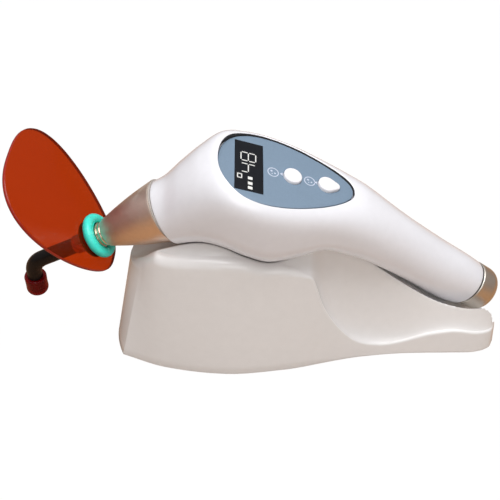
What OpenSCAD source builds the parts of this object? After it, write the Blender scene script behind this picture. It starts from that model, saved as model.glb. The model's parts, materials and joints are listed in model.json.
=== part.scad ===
// Cordless dental curing light, docked on its charging cradle.
// X runs from the light tip (-X) to the tail (+X), -Y is the user's side and Z is up.
// The origin is the middle of the cradle's footprint, on the table.
// The handpiece is drawn in its own frame (x, across, height), then docked with a small roll.

/* [Docking] */
// Roll of the docked handpiece towards the user
dock_roll = 12; // [11:0.5:13]
// Height of the handpiece's own origin above the table
dock_height = 26; // [25.8:0.1:26.4]
// Sideways place of the handpiece's own origin
dock_shift = 7.3; // [7:0.1:7.6]
// Gap between the handpiece and the cradle
dock_gap = 0.5; // [0.4:0.1:0.8]

/* [Housing] */
// Wall thickness of the moulded housing
wall = 2.2; // [2:0.1:2.4]
// Downward slope of the control panel towards the tail
panel_slope = 19.5; // [19:0.5:20]
// Length of the control panel
panel_length = 68; // [67:0.5:69]
// Mean width of the control panel
panel_width = 40.5; // [40:0.5:41]
// Thickness of the control panel plate
panel_thick = 1.6; // [1.4:0.1:1.8]
// Button travel
button_travel = 0.8; // [0.6:0.1:1]

/* [Nose and light guide] */
// Dip of the nose axis below the horizontal
nose_dip = 29.5; // [29:0.5:30]
// Length of the metal nose cone
nose_length = 33.8; // [33:0.1:34]
// Radius of the nose cone at its tip
nose_tip_r = 7.2; // [7:0.1:7.6]
// Radius of the nose cone at its seam
nose_seam_r = 15.8; // [15.6:0.1:16]
// Radius of the fibre-optic rod
rod_r = 4; // [4]
// Straight length of the rod in front of the nose
rod_reach = 39.5; // [38:0.5:41]
// Radius of the rod's bend
rod_bend_r = 12; // [11:0.5:14]
// Angle of the rod's bend
rod_bend = 60; // [55:1:65]
// Straight length of the rod after its bend
rod_tip = 13.5; // [13:0.5:15]
// Radius of the ferrule's shank, which plugs into the nose
shank_r = 5; // [5]
// Radius of the ferrule's collar, which carries the eye shield
collar_r = 6.3; // [6.2:0.1:6.4]

/* [Eye shield] */
// Length of the eye shield
shield_length = 79; // [76:1:82]
// Mean width of the eye shield
shield_width = 63; // [60:1:66]
// Thickness of the eye shield
shield_thick = 2; // [1.8:0.1:2.4]
// Tilt of the eye shield away from square to the guide
shield_tilt = 4; // [2:1:6]
// Turn of the eye shield about the guide
shield_turn = 7; // [4:1:10]

/* [Tail] */
// Dip of the handle axis below the horizontal
tail_dip = 40; // [39:0.5:41]
// Length of the metal tail cap
tail_length = 13.6; // [13:0.1:14]
// Radius of the tail cap at its seam
tail_r = 11.6; // [11.4:0.1:11.8]

/* [Cradle] */
// Height that the side walls lean in over, at the full draft
draft_height = 65; // [60:1:70]
// Draft of the side walls over that height
draft = 5; // [4:0.5:6]
// Thickness of the bottom plate
plate_thick = 2.4; // [2.2:0.1:2.6]

/* [Hidden] */
$fn = 48;
cut = 0.01;
fit = 0.05;

// Slices of the handpiece across x: x, underside height, top height, half width and
// squareness of the upper half (2 is an ellipse, 5 is nearly a box).
SLICES = [
  [-80, 30.6, 67.6, 16.0, 2.0],
  [-68.4, 37.2, 74.4, 16.4, 2.0],
  [-60, 42.0, 82.6, 18.6, 2.2],
  [-50, 45.0, 90.6, 21.8, 2.6],
  [-40, 43.5, 94.6, 25.2, 3.4],
  [-29, 38.5, 90.4, 27.4, 4.6],
  [-18, 34.8, 86.4, 27.9, 4.6],
  [-4, 38.0, 81.4, 25.6, 3.9],
  [8, 41.0, 76.4, 21.9, 3.4],
  [20, 34.2, 71.4, 18.8, 2.8],
  [30, 28.0, 65.6, 17.1, 2.4],
  [50, 11.9, 48.6, 14.1, 2.0],
  [70.5, -4.7, 30.3, 13.3, 2.0],
  [85.5, -12.7, 18.1, 11.8, 2.0],
  [98, -22.0, 6.4, 11.0, 2.0]
];
housing_rings = 30;
housing_sides = 28;

// Cradle outline across x: x, half width of the footprint, height of the side lip.
OUTLINE = [
  [-92.5, 19.5, 60.0],
  [-70, 29.0, 63.5],
  [-38, 34.0, 67.0],
  [-10, 31.0, 61.0],
  [0, 28.8, 57.0],
  [4, 27.7, 53.5],
  [9, 26.3, 37.5],
  [16, 24.4, 24.0],
  [26, 22.0, 12.2],
  [39, 20.0, 7.6],
  [51, 18.8, 8.6],
  [64, 18.4, 12.6],
  [77, 18.2, 14.4],
  [89, 17.6, 12.6],
  [97, 14.0, 11.4],
  [99.5, 9.0, 11.0]
];
base_rings = 42;
base_cols = 14;
base_start = OUTLINE[0][0];
base_end = OUTLINE[len(OUTLINE) - 1][0];
base_foot = 0.8;
end_lean = 12;
end_bulge = 4;
crest_rise = 34;
crest_gain = 20;
crest_shape = 3;
plate_bottom = 1.0;
plate_top = plate_bottom + plate_thick;

// Piecewise cubic through the rows of a table, for one column.
function segment(rows, x, k = 0) =
  k >= len(rows) - 2 || x < rows[k + 1][0] ? k : segment(rows, x, k + 1);
function steepness(rows, c, k) =
  let (a = max(k - 1, 0), b = min(k + 1, len(rows) - 1))
  (rows[b][c] - rows[a][c]) / (rows[b][0] - rows[a][0]);
function through(rows, x, c) =
  let (k = segment(rows, x), h = rows[k + 1][0] - rows[k][0], u = (x - rows[k][0]) / h)
  rows[k][c] * (1 + 2 * u) * (1 - u) ^ 2
  + steepness(rows, c, k) * h * u * (1 - u) ^ 2
  + rows[k + 1][c] * u ^ 2 * (3 - 2 * u)
  + steepness(rows, c, k + 1) * h * u ^ 2 * (u - 1);

function mix(a, b, u) = a + (b - a) * u;
function power(v, e) = sign(v) * abs(v) ^ e;

// Handpiece frame to the cradle frame.
function docked_y(p, q) = dock_shift + p * cos(dock_roll) - q * sin(dock_roll);
function docked_z(p, q) = dock_height + p * sin(dock_roll) + q * cos(dock_roll);
module docked() {
  translate([0, dock_shift, dock_height]) rotate([dock_roll, 0, 0]) children();
}

// Control panel plane: origin at the panel's centre, z along its outward normal.
panel_x = -10;
panel_q = 80.8;
function panel_height(x) = panel_q - (x - panel_x) * tan(panel_slope);
module on_panel(x = 0, z = 0) {
  docked() translate([panel_x, 0, panel_q]) rotate([0, panel_slope, 0]) translate([x, 0, z]) children();
}

// Nose axis: origin at the centre of the nose's tip face, z outwards along the guide.
nose_tip_x = -97.3;
nose_tip_q = 40.7;
seal_gap = 0.8;
module on_nose(t = 0) {
  docked() translate([nose_tip_x, 0, nose_tip_q]) rotate([0, -90 - nose_dip, 0])
    translate([0, 0, t]) children();
}

// Handle axis: origin at the centre of the tail seam, z outwards.
tail_x = 85.5;
tail_q = 2.7;
module on_tail(t = 0) {
  docked() translate([tail_x, 0, tail_q]) rotate([0, 90 + tail_dip, 0]) translate([0, 0, t]) children();
}

// Guide's tip: origin at the end of the bend, z towards the tip.
module on_tip(t = 0) {
  on_nose(rod_reach) translate([-rod_bend_r, 0, 0]) rotate([0, -rod_bend, 0])
    translate([rod_bend_r, 0, t]) children();
}

module ring(r_out, r_in, h) {
  difference() {
    cylinder(r = r_out, h = h);
    translate([0, 0, -cut]) cylinder(r = r_in, h = h + 2 * cut);
  }
}

module torus(r_mid, r_wire) {
  rotate_extrude() translate([r_mid, 0]) circle(r = r_wire);
}

// Egg outline, blunt towards -x: half lengths, roundness of the ends and taper.
function egg(len_x, len_y, blunt, taper, n) = [
  for (i = [0 : n - 1])
    let (a = 360 * i / n)
    [len_x / 2 * cos(a), len_y / 2 * power(sin(a), blunt) * (1 - taper * cos(a))]
];

// Coil of round wire, wound about z.
coil_steps = 12;
wire_sides = 6;
module coil(r_mid, r_wire, height, turns) {
  steps = coil_steps * turns;
  points = [
    for (i = [0 : steps])
      for (j = [0 : wire_sides - 1])
        let (a = 360 * i / coil_steps, b = 360 * j / wire_sides, r = r_mid + r_wire * cos(b))
        [r * cos(a), r * sin(a), r_wire + (height - 2 * r_wire) * i / steps + r_wire * sin(b)]
  ];
  faces = concat(
    [[for (j = [0 : wire_sides - 1]) j]],
    [[for (j = [wire_sides - 1 : -1 : 0]) steps * wire_sides + j]],
    [
      for (i = [0 : steps - 1])
        for (j = [0 : wire_sides - 1])
          let (k = (j + 1) % wire_sides, low = i * wire_sides, high = low + wire_sides)
          [low + j, high + j, high + k, low + k]
    ]
  );
  polyhedron(points, faces, convexity = 8);
}

// One point of the handpiece's skin, inset by a wall, at slice x and angle a.
inner_clear = panel_thick + 3.2;
function skin(x, a, inset) =
  let (low = through(SLICES, x, 1) + 1.25 * inset,
       rim = through(SLICES, x, 2) - 1.25 * inset,
       top = inset > 0 ? min(rim, panel_height(x) - inner_clear + max(0, x - 18) * 2 + max(0, -44 - x) * 3) : rim,
       mid = (through(SLICES, x, 1) + through(SLICES, x, 2)) / 2,
       half = through(SLICES, x, 3) - inset,
       e = sin(a) > 0 ? 2 / through(SLICES, x, 4) : 1)
  [x, half * power(cos(a), e), mid + (sin(a) > 0 ? top - mid : mid - low) * power(sin(a), e)];

// Tube between two skins, closed at both ends by flat rims.
module skin_tube(x0, x1, inset, rings, sides) {
  points = [
    for (s = [0, inset])
      for (i = [0 : rings])
        for (j = [0 : sides - 1])
          skin(mix(x0, x1, i / rings), 360 * j / sides, s)
  ];
  inner = (rings + 1) * sides;
  faces = [
    for (j = [0 : sides - 1])
      let (k = (j + 1) % sides)
      each concat(
        [for (i = [0 : rings - 1]) let (a = i * sides, b = a + sides) [a + j, a + k, b + k, b + j]],
        [for (i = [0 : rings - 1]) let (a = inner + i * sides, b = a + sides) [a + j, b + j, b + k, a + k]],
        [[j, inner + j, inner + k, k]],
        [let (a = rings * sides) [a + j, a + k, a + inner + k, a + inner + j]]
      )
  ];
  polyhedron(points, faces, convexity = 6);
}

big = 80;
panel_inset = 3;
panel_blunt = 0.88;
panel_taper = 0.35;
pad_x = -18;
pad_pitch = 10;
pad_r = 2.4;
pad_depth = 3.4;
pad_lift = 0.6;
module at_pads() {
  for (side = [-1, 1]) docked() translate([pad_x, side * pad_pitch / 2, through(SLICES, pad_x, 1)]) children();
}

module housing() {
  color("whitesmoke") difference() {
    docked() skin_tube(-80, 98, wall, housing_rings, housing_sides);
    on_nose(-nose_length - seal_gap) translate([-big / 2, -big / 2, 0]) cube(big);
    on_tail(0) translate([-big / 2, -big / 2, 0]) cube(big);
    on_panel(0, -panel_thick) linear_extrude(12)
      polygon(egg(panel_length + 0.4, panel_width + 0.4, panel_blunt, panel_taper, 48));
    on_panel(0, -16) linear_extrude(20)
      polygon(egg(panel_length - 2 * panel_inset, panel_width - 2 * panel_inset, panel_blunt, panel_taper, 32));
    on_tail(-collar_depth - 0.1) cylinder(r = collar_ring_r + fit, h = collar_depth + 1);
    at_pads() translate([0, 0, -4]) cylinder(r = pad_r + fit, h = 12);
  }
}

module nose_cone() {
  outer = [
    [nose_tip_r - 1, 0],
    [nose_tip_r, -1],
    [mix(nose_tip_r, nose_seam_r, 0.36), -0.32 * nose_length],
    [mix(nose_tip_r, nose_seam_r, 0.70), -0.64 * nose_length],
    [nose_seam_r, -nose_length]
  ];
  inner = [
    [stub_r + fit, -nose_length],
    [stub_r + fit, -26],
    [10.6, -25.5],
    [lens_r + 0.1, -20.5],
    [lens_r + 0.1, -15],
    [shank_r + fit, -14.2],
    [shank_r + fit, 0]
  ];
  color("tan") on_nose() difference() {
    rotate_extrude() polygon(concat(outer, inner));
    translate([0, 0, -5.9]) cylinder(r = shank_r + fit + 1.6, h = 1.8);
  }
}

module nose_seal() {
  color("dimgray") on_nose(-nose_length - seal_gap + fit) ring(nose_seam_r - 0.3, stub_r + 0.3, seal_gap - 2 * fit);
}

stub_r = 12.1;
lens_r = 8.4;
sink_front = -24.5;
fin_pitch = 2.6;
fin_count = 6;
fin_r = 11.6;
module heat_sink() {
  color("silver") on_nose() {
    translate([0, 0, -nose_length - 3]) cylinder(r = stub_r, h = 9);
    translate([0, 0, -nose_length + 6]) cylinder(r = 9.8, h = sink_front + nose_length - 6);
    for (i = [1 : fin_count]) {
      translate([0, 0, -nose_length - 3 - fin_pitch * i]) cylinder(r = fin_r, h = 1.2);
    }
    translate([0, 0, -nose_length - 3 - fin_pitch * fin_count]) cylinder(r = 6, h = fin_pitch * fin_count + cut);
  }
}

module led_emitter() {
  color("gold") on_nose(sink_front + cut) {
    translate([-4, -4, 0]) cube([8, 8, 1.2]);
    translate([0, 0, 1.2]) cylinder(r = 2.6, h = 1.6);
  }
}

module collimator_lens() {
  color("lightcyan") on_nose(-20.2) rotate_extrude()
    polygon([[0, 0.4], [lens_r, 0.4], [lens_r, 2], [7, 3.6], [4, 4.6], [0, 5]]);
}

module socket_o_ring() {
  color("black") on_nose(-5) torus(shank_r + 0.85, 0.8);
}

collar_start = 0.3;
collar_length = 12.4;
sleeve_r = 4.7;
sleeve_end = 19;
module guide_ferrule() {
  color("silver") on_nose() difference() {
    union() {
      translate([0, 0, -13.6]) cylinder(r = shank_r, h = 13.6 + collar_start);
      translate([0, 0, collar_start]) cylinder(r = collar_r, h = collar_length);
      translate([0, 0, collar_start + collar_length]) cylinder(r = sleeve_r, h = sleeve_end - collar_start - collar_length);
    }
    translate([0, 0, -14]) cylinder(r = rod_r + 0.02, h = 40);
  }
}

// The bend's sheath is a little fatter than the rod and laps both straight lengths by an angle.
bend_lap = 3;
bend_sheath = 0.15;
module light_guide_rod() {
  color("black") {
    on_nose(-13.4) cylinder(r = rod_r, h = rod_reach + 13.4);
    on_nose(rod_reach) translate([-rod_bend_r, 0, 0]) rotate([90, 0, 0]) rotate([0, 0, -bend_lap])
      rotate_extrude(angle = rod_bend + 2 * bend_lap) translate([rod_bend_r, 0]) circle(r = rod_r + bend_sheath);
    on_tip() cylinder(r = rod_r, h = rod_tip);
  }
}

cap_length = 12;
cap_wall = 1.7;
module tip_cap() {
  r = rod_r + cap_wall;
  color("darkred") on_tip(rod_tip - cap_length + 2) difference() {
    union() {
      cylinder(r = r, h = cap_length - r / 2);
      translate([0, 0, cap_length - r / 2]) rotate_extrude()
        polygon([for (a = [0 : 15 : 90]) [r * cos(a), r / 2 * sin(a)], [0, 0]]);
    }
    translate([0, 0, -cut]) cylinder(r = rod_r + fit, h = cap_length - 2 + 0.1);
  }
}

// Eye shield frame: origin where the shield crosses the guide axis, x towards the shield's far end.
shield_t = 7.2;
shield_offset = 23.5;
shield_hole = 7.9;
ring_wire = 2.4;
ring_mid = 9.1;
module on_shield() {
  on_nose(shield_t) rotate([0, -shield_tilt, 0]) rotate([0, 0, shield_turn]) children();
}

module eye_shield() {
  color("orangered") on_shield() difference() {
    translate([shield_offset, 0, 0]) linear_extrude(shield_thick)
      polygon(egg(shield_length, shield_width, 0.75, -0.3, 64));
    translate([0, 0, -cut]) cylinder(r = shield_hole, h = shield_thick + 2 * cut);
  }
}

module shield_ring() {
  color("turquoise") difference() {
    on_shield() {
      translate([0, 0, -ring_wire - 0.1]) torus(ring_mid, ring_wire);
      translate([0, 0, -ring_wire]) cylinder(r = shield_hole - 0.1, h = ring_wire + shield_thick + 1);
      translate([0, 0, shield_thick + 0.1]) cylinder(r = shield_hole + 1.5, h = 1.2);
    }
    on_nose() cylinder(r = collar_r + fit, h = 30);
  }
}

module control_panel() {
  color("lightsteelblue") on_panel(0, -panel_thick) difference() {
    linear_extrude(panel_thick) polygon(egg(panel_length, panel_width, panel_blunt, panel_taper, 48));
    translate([display_x - display_l / 2 - 0.1, -display_w / 2 - 0.1, -cut])
      cube([display_l + 0.2, display_w + 0.2, panel_thick + 1]);
    translate([mode_x, 0, -cut]) cylinder(r = mode_r + 0.15, h = panel_thick + 1);
    translate([power_x, 0, -cut]) linear_extrude(panel_thick + 1) drop(0.15);
  }
}

display_x = -18.6;
display_l = 13.8;
display_w = 31;
module display_window() {
  color("black") on_panel(display_x, -panel_thick + 0.1)
    translate([-display_l / 2, -display_w / 2, 0]) cube([display_l, display_w, panel_thick - 0.1]);
}

module display_module() {
  color("dimgray") on_panel(display_x, -panel_thick - 2.6)
    translate([-display_l / 2 + 1, -display_w / 2 + 2, 0]) cube([display_l - 2, display_w - 4, 2.5]);
}

mode_x = 2.8;
mode_r = 4.5;
power_x = 20;
button_rise = 2;
// Teardrop outline of the power button, wide towards the display: two circles and their tangents.
drop_r = 4.4;
drop_tip_r = 2.2;
drop_reach = 4.2;
module drop(grow) {
  lean = acos((drop_r - drop_tip_r) / drop_reach);
  near = drop_r + grow;
  far = drop_tip_r + grow;
  circle(r = near);
  translate([drop_reach, 0]) circle(r = far);
  polygon([
    [near * cos(lean), -near * sin(lean)],
    [drop_reach + far * cos(lean), -far * sin(lean)],
    [drop_reach + far * cos(lean), far * sin(lean)],
    [near * cos(lean), near * sin(lean)]
  ]);
}

module button_stem() {
  translate([0, 0, -panel_thick - button_travel - 2.2]) cylinder(r = 1.6, h = 2.3);
}

module mode_button() {
  color("white") on_panel(mode_x) {
    translate([0, 0, -panel_thick - 0.2]) cylinder(r = mode_r, h = panel_thick + button_rise);
    translate([0, 0, -panel_thick - button_travel - 0.1]) cylinder(r = mode_r + 1.2, h = button_travel);
    button_stem();
  }
}

module power_button() {
  color("white") on_panel(power_x) {
    translate([0, 0, -panel_thick - 0.2]) linear_extrude(panel_thick + button_rise) drop(0);
    translate([0, 0, -panel_thick - button_travel - 0.1]) cylinder(r = drop_r + 1, h = button_travel);
    button_stem();
  }
}

board_z = -9.2;
board_thick = 1.6;
board_l = 52;
board_w = 22;
switch_h = board_z + board_thick;
module control_board() {
  color("green") on_panel(1.5, board_z) difference() {
    translate([-board_l / 2, -board_w / 2, 0]) cube([board_l, board_w, board_thick]);
    for (x = [-23, 23], y = [-8, 8]) translate([x, y, -cut]) cylinder(r = 1.1, h = board_thick + 1);
  }
}

// A button's stem meets its switch's plunger at the end of the button's travel.
plunger_rise = 0.6;
module tact_switches() {
  top = -panel_thick - 2 * button_travel - 2.3 - switch_h;
  color("black") for (x = [mode_x, power_x]) on_panel(x, switch_h) {
    translate([-3, -3, 0]) cube([6, 6, top - plunger_rise]);
    cylinder(r = 1.4, h = top);
  }
}

module board_screws() {
  color("silver") for (x = [-23, 23], y = [-8, 8]) on_panel(1.5 + x, board_z) translate([0, y, 0]) {
    translate([0, 0, -4]) cylinder(r = 1, h = 4.5 + board_thick);
    translate([0, 0, board_thick + 0.02]) cylinder(r = 1.9, h = 1.1);
  }
}

cell_r = 9.1;
cell_length = 65;
cell_gap = 5;
module battery() {
  color("seagreen") on_tail(-cell_gap - cell_length) {
    cylinder(r = cell_r, h = cell_length);
    translate([0, 0, -1]) cylinder(r = 3, h = 1 + cut);
  }
}

module battery_spring() {
  color("silver") on_tail(-cell_gap - cell_length - 1.2 - 7) coil(4.5, 0.5, 7, 4);
}

module charge_pads() {
  color("gold") at_pads() translate([0, 0, pad_lift]) cylinder(r = pad_r, h = pad_depth);
}

collar_depth = 9;
spigot_r = 10;
collar_ring_r = 10.7;
module tail_collar() {
  color("silver") on_tail(-collar_depth) ring(collar_ring_r, spigot_r + fit, collar_depth - 0.3);
}

module tail_seal() {
  color("black") on_tail(0.05) ring(tail_r - 0.5, spigot_r + fit, 0.7);
}

tail_start = 0.8;
module tail_cap() {
  dome = 5;
  color("tan") on_tail() {
    translate([0, 0, tail_start - 4.2]) ring(spigot_r, 8.4, 4.2 + 2);
    translate([0, 0, tail_start]) rotate_extrude() polygon(concat(
      [[0, 1.6], [8.4, 1.6], [8.4, 0], [tail_r - 0.3, 0], [tail_r, 0.6]],
      [for (a = [0 : 15 : 90])
        [tail_r - dome + dome * cos(a), tail_length - tail_start - dome + dome * sin(a)]],
      [[0, tail_length - tail_start]]
    ));
  }
}

// Outline of the cradle's footprint, drawn in by an inset.
function footprint(inset) = let (
  half = [for (i = [0 : base_rings])
    let (x = mix(base_start + inset, base_end - inset, i / base_rings))
    [x, through(OUTLINE, x, 1) - inset]]
) concat(
  [for (p = half) [p[0], -p[1]]],
  [for (i = [base_rings : -1 : 0]) half[i]]
);

// Underside of the docked handpiece over the point x, y of the cradle.
// The nose cone carries on ahead of the housing as a slice of its cone.
function nose_slice_r(x) = max(1, nose_tip_r + (x - nose_tip_x) * (nose_seam_r - nose_tip_r)
  / (nose_length * cos(nose_dip)));
function rest_half(x) = max(through(SLICES, max(-80, x), 3), nose_slice_r(min(x, -60)));
function rest_low(x) = through(SLICES, max(-80, x), 1) + min(0, x + 80) * tan(nose_dip);
function rest_mid(x) = (through(SLICES, max(-80, x), 1) + through(SLICES, max(-80, x), 2)) / 2
  + min(0, x + 80) * tan(nose_dip);
function underside(x, y) =
  let (a = rest_half(x) + dock_gap,
       b = rest_mid(x) - rest_low(x) + dock_gap * 1.3,
       dy = y - docked_y(0, rest_mid(x)),
       s = sin(dock_roll),
       c = cos(dock_roll),
       aa = (s / a) ^ 2 + (c / b) ^ 2,
       bb = dy * s * c * (1 / a ^ 2 - 1 / b ^ 2),
       cc = dy ^ 2 * ((c / a) ^ 2 + (s / b) ^ 2) - 1,
       root = bb ^ 2 - aa * cc)
  root <= 0 ? 1000 : docked_z(0, rest_mid(x)) - (bb + sqrt(root)) / aa;

// Top of the cradle: a crest that falls to the side lips in a hollow sweep, cut by the rest.
function top_half(x) = through(OUTLINE, x, 1) - draft * through(OUTLINE, x, 2) / draft_height;
function cradle_top(x, y) =
  let (lip = through(OUTLINE, x, 2), s = min(1, abs(y) / top_half(x)))
  min(lip + (crest_rise + min(crest_gain, max(0, x))) * (1 - s ^ 2) ^ crest_shape, underside(x, y));

// The front end leans in with height and swells forward in plan.
function front(x) = max(0, x / base_start) ^ 6;
function front_shift(x, across, height) =
  front(x) * (end_lean * height / draft_height - end_bulge * (1 - across ^ 2));

module cradle_block() {
  rows = base_rings;
  cols = base_cols;
  top = [
    for (i = [0 : rows])
      for (j = [0 : cols])
        let (x = mix(base_start, base_end, i / rows),
             across = sin(mix(-90, 90, j / cols)),
             xt = x + front_shift(x, across, draft_height * 0.9),
             z = cradle_top(xt, top_half(x) * across))
        [x + front_shift(x, across, z), top_half(x) * across, z]
  ];
  rim = concat(
    [for (i = [0 : rows]) i * (cols + 1)],
    [for (j = [1 : cols]) rows * (cols + 1) + j],
    [for (i = [rows - 1 : -1 : 0]) i * (cols + 1) + cols],
    [for (j = [cols - 1 : -1 : 1]) j]
  );
  count = len(rim);
  low = len(top);
  foot = [
    for (k = rim)
      let (i = floor(k / (cols + 1)), j = k % (cols + 1), x = mix(base_start, base_end, i / rows),
           across = sin(mix(-90, 90, j / cols)))
      [x + front_shift(x, across, 0), through(OUTLINE, x, 1) * across, base_foot]
  ];
  faces = concat(
    [for (i = [0 : rows - 1]) for (j = [0 : cols - 1])
      let (a = i * (cols + 1) + j, b = a + cols + 1) [a, a + 1, b + 1, b]],
    [for (k = [0 : count - 1]) let (n = (k + 1) % count) [rim[k], rim[n], low + n, low + k]],
    [[for (k = [0 : count - 1]) low + k]]
  );
  polyhedron(concat(top, foot), faces, convexity = 8);
}

// Hollows in the cradle's underside: corner and size of each.
bay = [[-70, -19], [64, 38, 34]];
jack_bay = [[-60, 0], [18, 18]];
tail_bay = [[10, -11], [62, 22, 2.4]];
block_bay = [18, 20];
pin_bay_r = 1.4;
boss_places = [[-78, 0], [-30, 22], [-30, -22], [82, 0]];
foot_places = [[0, 0], [-80, 11], [-80, -11], [78, 8], [78, -8]];
pin_y = docked_y(0, through(SLICES, pad_x, 1));
jack_x = -52;
jack_z = 13;
jack_y = 28.4;
module base_shell() {
  color("whitesmoke") difference() {
    cradle_block();
    translate([0, 0, base_foot - 1]) linear_extrude(plate_top - base_foot + 1 + 0.1)
      polygon(footprint(2.5));
    translate([bay[0][0], bay[0][1], plate_top]) cube(bay[1]);
    translate([jack_bay[0][0], jack_bay[0][1], plate_top])
      cube([jack_bay[1][0], jack_y - jack_collar + 0.6, jack_bay[1][1]]);
    translate([tail_bay[0][0], tail_bay[0][1], plate_top]) cube(tail_bay[1]);
    translate([pad_x - block_bay[0] / 2, pin_y - block_bay[1] / 2, plate_top])
      cube([block_bay[0], block_bay[1], block_top - plate_top + 0.1]);
    at_pins() translate([0, 0, 30]) cylinder(r = pin_bay_r, h = 40);
    translate([jack_x, jack_y - 5, jack_z]) rotate([-90, 0, 0]) cylinder(r = 4.6, h = 12);
    for (p = boss_places) translate([p[0], p[1], plate_top]) cylinder(r = 1.15, h = 4.5);
  }
}

module base_bottom_plate() {
  color("gray") difference() {
    translate([0, 0, plate_bottom]) linear_extrude(plate_thick) polygon(footprint(2.8));
    for (p = boss_places) translate([p[0], p[1], 0]) {
      cylinder(r = 1.6, h = 6);
      translate([0, 0, plate_bottom - cut]) cylinder(r = 3.1, h = 1.3);
    }
    for (p = foot_places) translate([p[0], p[1], plate_bottom - cut]) cylinder(r = 5.1, h = 1);
  }
}

module base_feet() {
  color("black") for (p = foot_places) translate([p[0], p[1], 0]) cylinder(r = 5, h = plate_bottom + 0.9);
}

module base_screws() {
  color("silver") for (p = boss_places) translate([p[0], p[1], plate_bottom + 0.1]) {
    cylinder(r = 2.9, h = 1.1);
    translate([0, 0, 1.1]) cylinder(r = 1.1, h = 5);
  }
}

module ballast_plate() {
  color("slategray") translate([-68, -17, plate_top + 0.1]) cube([24, 34, 4.2]);
}

board_top = plate_top + 8 + board_thick;
module charging_board() {
  color("green") translate([pad_x - 20, -17, plate_top + 8]) difference() {
    cube([30, 34, board_thick]);
    for (x = [3, 27]) translate([x, 3, -cut]) cylinder(r = 1.1, h = board_thick + 1);
  }
}

// Charging pins: plungers in a moulded block, each on its own coil spring.
pin_r = 1;
pin_gap = 0.06;
block_top = 51;
spring_h = 8;
spring_base = board_top + 1;
module at_pins() {
  for (side = [-1, 1]) translate([pad_x, pin_y + side * pad_pitch / 2, 0]) children();
}

module pin_block() {
  color("dimgray") difference() {
    translate([pad_x - block_bay[0] / 2 + 0.4, pin_y - block_bay[1] / 2 + 0.4, board_top + 0.1])
      cube([block_bay[0] - 0.8, block_bay[1] - 0.8, block_top - board_top - 0.1]);
    at_pins() {
      translate([0, 0, spring_base]) cylinder(r = 2.2, h = spring_h + 3);
      translate([0, 0, spring_base]) cylinder(r = pin_r + fit, h = 60);
    }
  }
}

pin_low = spring_base + spring_h + 0.05;
module charge_pins() {
  color("gold") for (side = [-1, 1]) {
    top = docked_z(side * pad_pitch / 2, through(SLICES, pad_x, 1) + pad_lift) - pin_gap;
    translate([pad_x, pin_y + side * pad_pitch / 2, pin_low]) {
      cylinder(r = 2, h = 1.5);
      cylinder(r = pin_r, h = top - pin_low - pin_r);
      translate([0, 0, top - pin_low - pin_r]) sphere(r = pin_r);
    }
  }
}

module pin_springs() {
  color("silver") at_pins() translate([0, 0, spring_base + 0.02]) coil(1.5, 0.3, spring_h, 5);
}

// Power socket for a 5.5 mm barrel plug: a front collar, then a wider contact chamber
// in a moulded body, with the centre pin set back behind the collar.
jack_collar = 4.5;
jack_bore_r = 2.75;
jack_body = 9;
chamber_depth = 6.5;
module dc_jack() {
  color("black") translate([jack_x, jack_y, jack_z]) rotate([90, 0, 0]) {
    difference() {
      union() {
        cylinder(r = 4.2, h = jack_collar);
        translate([-4.6, -5, jack_collar - 0.1]) cube([9.2, 10, jack_body]);
      }
      translate([0, 0, -cut]) cylinder(r = jack_bore_r, h = jack_collar + 2 * cut);
      translate([0, 0, jack_collar]) cylinder(r = jack_bore_r + 0.6, h = chamber_depth);
    }
    translate([0, 0, jack_collar + 0.1]) cylinder(r = 1, h = chamber_depth + 0.5);
  }
}

base_shell();
base_bottom_plate();
base_feet();
base_screws();
ballast_plate();
charging_board();
pin_block();
charge_pins();
pin_springs();
dc_jack();
housing();
nose_cone();
nose_seal();
heat_sink();
led_emitter();
collimator_lens();
socket_o_ring();
control_panel();
display_window();
display_module();
control_board();
tact_switches();
board_screws();
mode_button();
power_button();
battery();
battery_spring();
charge_pads();
tail_collar();
tail_seal();
tail_cap();
guide_ferrule();
light_guide_rod();
tip_cap();
eye_shield();
shield_ring();
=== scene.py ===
"""Cordless dental curing light docked on its cradle: smooth visual meshes around the CAD part.

Shapes are worked out in millimetres, in the frames that the record's joints give,
and scaled to metres when a mesh is made.
"""

import json
import math

import bmesh
import bpy
import numpy as np
from mathutils import Matrix, Vector


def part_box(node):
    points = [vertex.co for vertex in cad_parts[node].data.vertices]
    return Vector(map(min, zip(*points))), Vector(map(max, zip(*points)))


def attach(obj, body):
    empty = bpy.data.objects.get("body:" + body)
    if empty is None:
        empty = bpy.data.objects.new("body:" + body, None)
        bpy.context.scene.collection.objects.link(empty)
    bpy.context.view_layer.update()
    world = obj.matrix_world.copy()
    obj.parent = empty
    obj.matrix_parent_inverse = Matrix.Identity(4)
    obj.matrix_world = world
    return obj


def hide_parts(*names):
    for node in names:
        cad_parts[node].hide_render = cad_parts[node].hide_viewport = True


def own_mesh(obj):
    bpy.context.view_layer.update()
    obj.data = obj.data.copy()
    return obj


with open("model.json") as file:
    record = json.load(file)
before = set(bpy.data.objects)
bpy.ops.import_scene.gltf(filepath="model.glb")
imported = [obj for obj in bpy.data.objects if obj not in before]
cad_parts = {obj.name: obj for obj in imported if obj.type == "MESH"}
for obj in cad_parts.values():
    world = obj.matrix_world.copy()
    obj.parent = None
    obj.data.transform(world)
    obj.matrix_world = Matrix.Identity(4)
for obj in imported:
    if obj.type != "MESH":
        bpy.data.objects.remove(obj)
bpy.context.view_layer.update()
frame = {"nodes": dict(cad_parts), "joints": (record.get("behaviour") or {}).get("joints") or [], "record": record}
MM = 0.001
nodes = frame["nodes"]
joints = {j["name"]: j for j in frame["joints"]}

# ---------------------------------------------------------------- frames
NOSE_TIP_Q = 40.7
SHIELD_T, SHIELD_TILT, SHIELD_TURN, SHIELD_OFFSET = 7.2, 4.0, 7.0, 23.5
ROD_R, ROD_REACH, BEND_R, BEND, ROD_TIP = 4.0, 39.5, 12.0, 60.0, 13.5


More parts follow.
